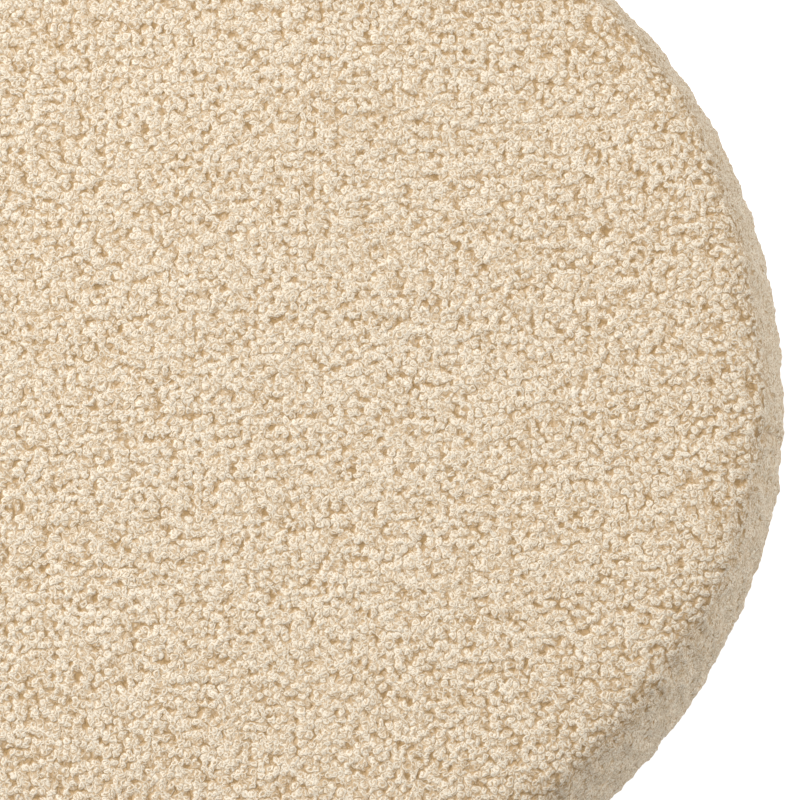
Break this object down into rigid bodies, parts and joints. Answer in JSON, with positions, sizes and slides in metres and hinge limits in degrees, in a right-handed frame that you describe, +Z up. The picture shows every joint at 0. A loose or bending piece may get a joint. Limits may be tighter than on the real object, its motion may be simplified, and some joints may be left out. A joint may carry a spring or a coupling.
{
  "type": "pouf",
  "caption": "Round filled pouf, a low soft seat or footrest, with a slightly crowned top, bulging sides and a flat base, covered in cream looped wool-look cloth.",
  "frame": {"origin": "on the floor, at the centre of the pouf's footprint", "axes": "+Z up through the crown; +X towards the side that shows right in the picture, where the strip's closing seam is; +Y towards the side that shows at the picture's upper edge"},
  "size_m": [0.4824, 0.4862, 0.3993],
  "materials": {
    "looped_cloth_top": "cream looped pile cloth of small tight curls, matt",
    "looped_cloth_side": "cream looped pile cloth of small tight curls, matt",
    "plain_base_cloth": "plain woven cotton cloth, matt"
  },
  "bodies": {
    "root": {"top_panel": "looped_cloth_top", "side_band": "looped_cloth_side", "base_panel": "plain_base_cloth"}
  },
  "joints": []
}
